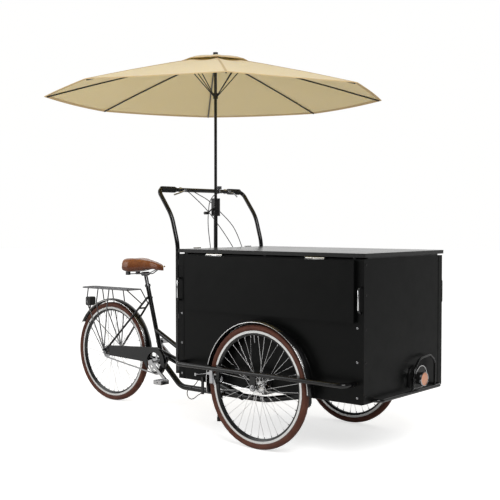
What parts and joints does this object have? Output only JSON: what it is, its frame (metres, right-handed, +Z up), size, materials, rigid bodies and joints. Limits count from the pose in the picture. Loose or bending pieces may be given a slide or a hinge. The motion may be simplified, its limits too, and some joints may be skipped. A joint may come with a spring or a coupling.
{
  "type": "front-box vending tricycle with parasol",
  "caption": "Pedal vending tricycle: boxed front module with parasol steers on a kingpin; lid, side flaps and prop stand move.",
  "frame": {"origin": "middle of the bounding box, on the ground", "axes": "+X forward along the machine, +Y to the rider's left, +Z up"},
  "size_m": [2.646, 2.044, 2.223],
  "materials": {
    "frame_black": "gloss",
    "panel_black": "satin",
    "lid_black": "gloss",
    "bright_metal": "polished",
    "rim_silver": "brushed",
    "tyre_brown": "matt",
    "saddle_leather": "satin",
    "dark_plastic": "matt",
    "cable_black": "satin",
    "parasol_dark": "satin",
    "canopy_cloth": "woven"
  },
  "bodies": {
    "rear_frame": {"frame_main": "frame_black", "frame_stays": "frame_black", "rear_axle": "bright_metal", "chain": "bright_metal", "chain_guard": "frame_black", "stand_bracket": "frame_black", "rear_mudguard": "frame_black", "rack": "bright_metal", "tail_lamp": "dark_plastic", "saddle": "saddle_leather", "seat_post": "bright_metal"},
    "rear_wheel": {"tyre_rear": "tyre_brown", "rim_rear": "rim_silver", "hub_rear": "bright_metal", "rear_sprocket": "bright_metal"},
    "crank": {"crankset": "bright_metal"},
    "pedal_right": {"pedal_right": "bright_metal"},
    "pedal_left": {"pedal_left": "bright_metal"},
    "stand": {"prop_stand": "frame_black"},
    "front_module": {"under_frame": "frame_black", "king_pin": "frame_black", "box_floor": "panel_black", "box_front": "panel_black", "box_rear": "panel_black", "box_sides": "panel_black", "corner_angles": "panel_black", "lid_pads": "dark_plastic", "grab_handles": "frame_black", "side_rails": "frame_black", "inner_plates": "frame_black", "front_axles": "bright_metal", "front_mudguards": "frame_black", "bumper": "frame_black", "head_lamp": "dark_plastic", "handlebar_hoop": "frame_black", "grips": "dark_plastic", "brake_levers": "bright_metal", "rim_brakes": "bright_metal", "cable_front_left": "cable_black", "cable_front_right": "cable_black", "cable_rear": "cable_black", "back_fittings": "frame_black", "parasol_pole": "parasol_dark", "canopy": "canopy_cloth", "crown": "parasol_dark", "ribs": "parasol_dark", "lid_hinge_fixed": "bright_metal", "flap_hinge_fixed": "bright_metal"},
    "front_wheel_right": {"tyre_front_right": "tyre_brown", "rim_front_right": "rim_silver", "hub_front_right": "bright_metal"},
    "front_wheel_left": {"tyre_front_left": "tyre_brown", "rim_front_left": "rim_silver", "hub_front_left": "bright_metal"},
    "lid": {"lid": "lid_black", "lid_hinge_leaf": "bright_metal"},
    "flap_right": {"flap_right": "panel_black", "flap_leaf_right": "bright_metal"},
    "flap_left": {"flap_left": "panel_black", "flap_leaf_left": "bright_metal"}
  },
  "joints": [
    {"name": "steering", "type": "hinge", "parent": "rear_frame", "child": "front_module", "pos_m": [0.623, 0, 0.221], "axis": [0, 0, 1], "range_deg": [-30, 30]},
    {"name": "rear_wheel_spin", "type": "hinge", "parent": "rear_frame", "child": "rear_wheel", "pos_m": [-0.993, 0, 0.33], "axis": [0, 1, 0], "continuous": true},
    {"name": "crank_spin", "type": "hinge", "parent": "rear_frame", "child": "crank", "pos_m": [-0.529, 0, 0.309], "axis": [0, 1, 0], "continuous": true},
    {"name": "pedal_right_spin", "type": "hinge", "parent": "crank", "child": "pedal_right", "pos_m": [-0.39504, -0.14, 0.20434], "axis": [0, 1, 0], "continuous": true},
    {"name": "pedal_left_spin", "type": "hinge", "parent": "crank", "child": "pedal_left", "pos_m": [-0.66296, 0.14, 0.41366], "axis": [0, 1, 0], "continuous": true},
    {"name": "stand_fold", "type": "hinge", "parent": "rear_frame", "child": "stand", "pos_m": [0.003, -0.05, 0.148], "axis": [0, 1, 0], "range_deg": [0, 90]},
    {"name": "front_right_spin", "type": "hinge", "parent": "front_module", "child": "front_wheel_right", "pos_m": [0.623, -0.436, 0.33], "axis": [0, 1, 0], "continuous": true},
    {"name": "front_left_spin", "type": "hinge", "parent": "front_module", "child": "front_wheel_left", "pos_m": [0.623, 0.436, 0.33], "axis": [0, 1, 0], "continuous": true},
    {"name": "lid_hinge", "type": "hinge", "parent": "front_module", "child": "lid", "pos_m": [-0.0065, 0, 1.048], "axis": [0, -1, 0], "range_deg": [0, 40]},
    {"name": "flap_right_hinge", "type": "hinge", "parent": "front_module", "child": "flap_right", "pos_m": [0.627, -0.404, 1.019], "axis": [-1, 0, 0], "range_deg": [0, 90]},
    {"name": "flap_left_hinge", "type": "hinge", "parent": "front_module", "child": "flap_left", "pos_m": [0.627, 0.404, 1.019], "axis": [1, 0, 0], "range_deg": [0, 90]}
  ]
}
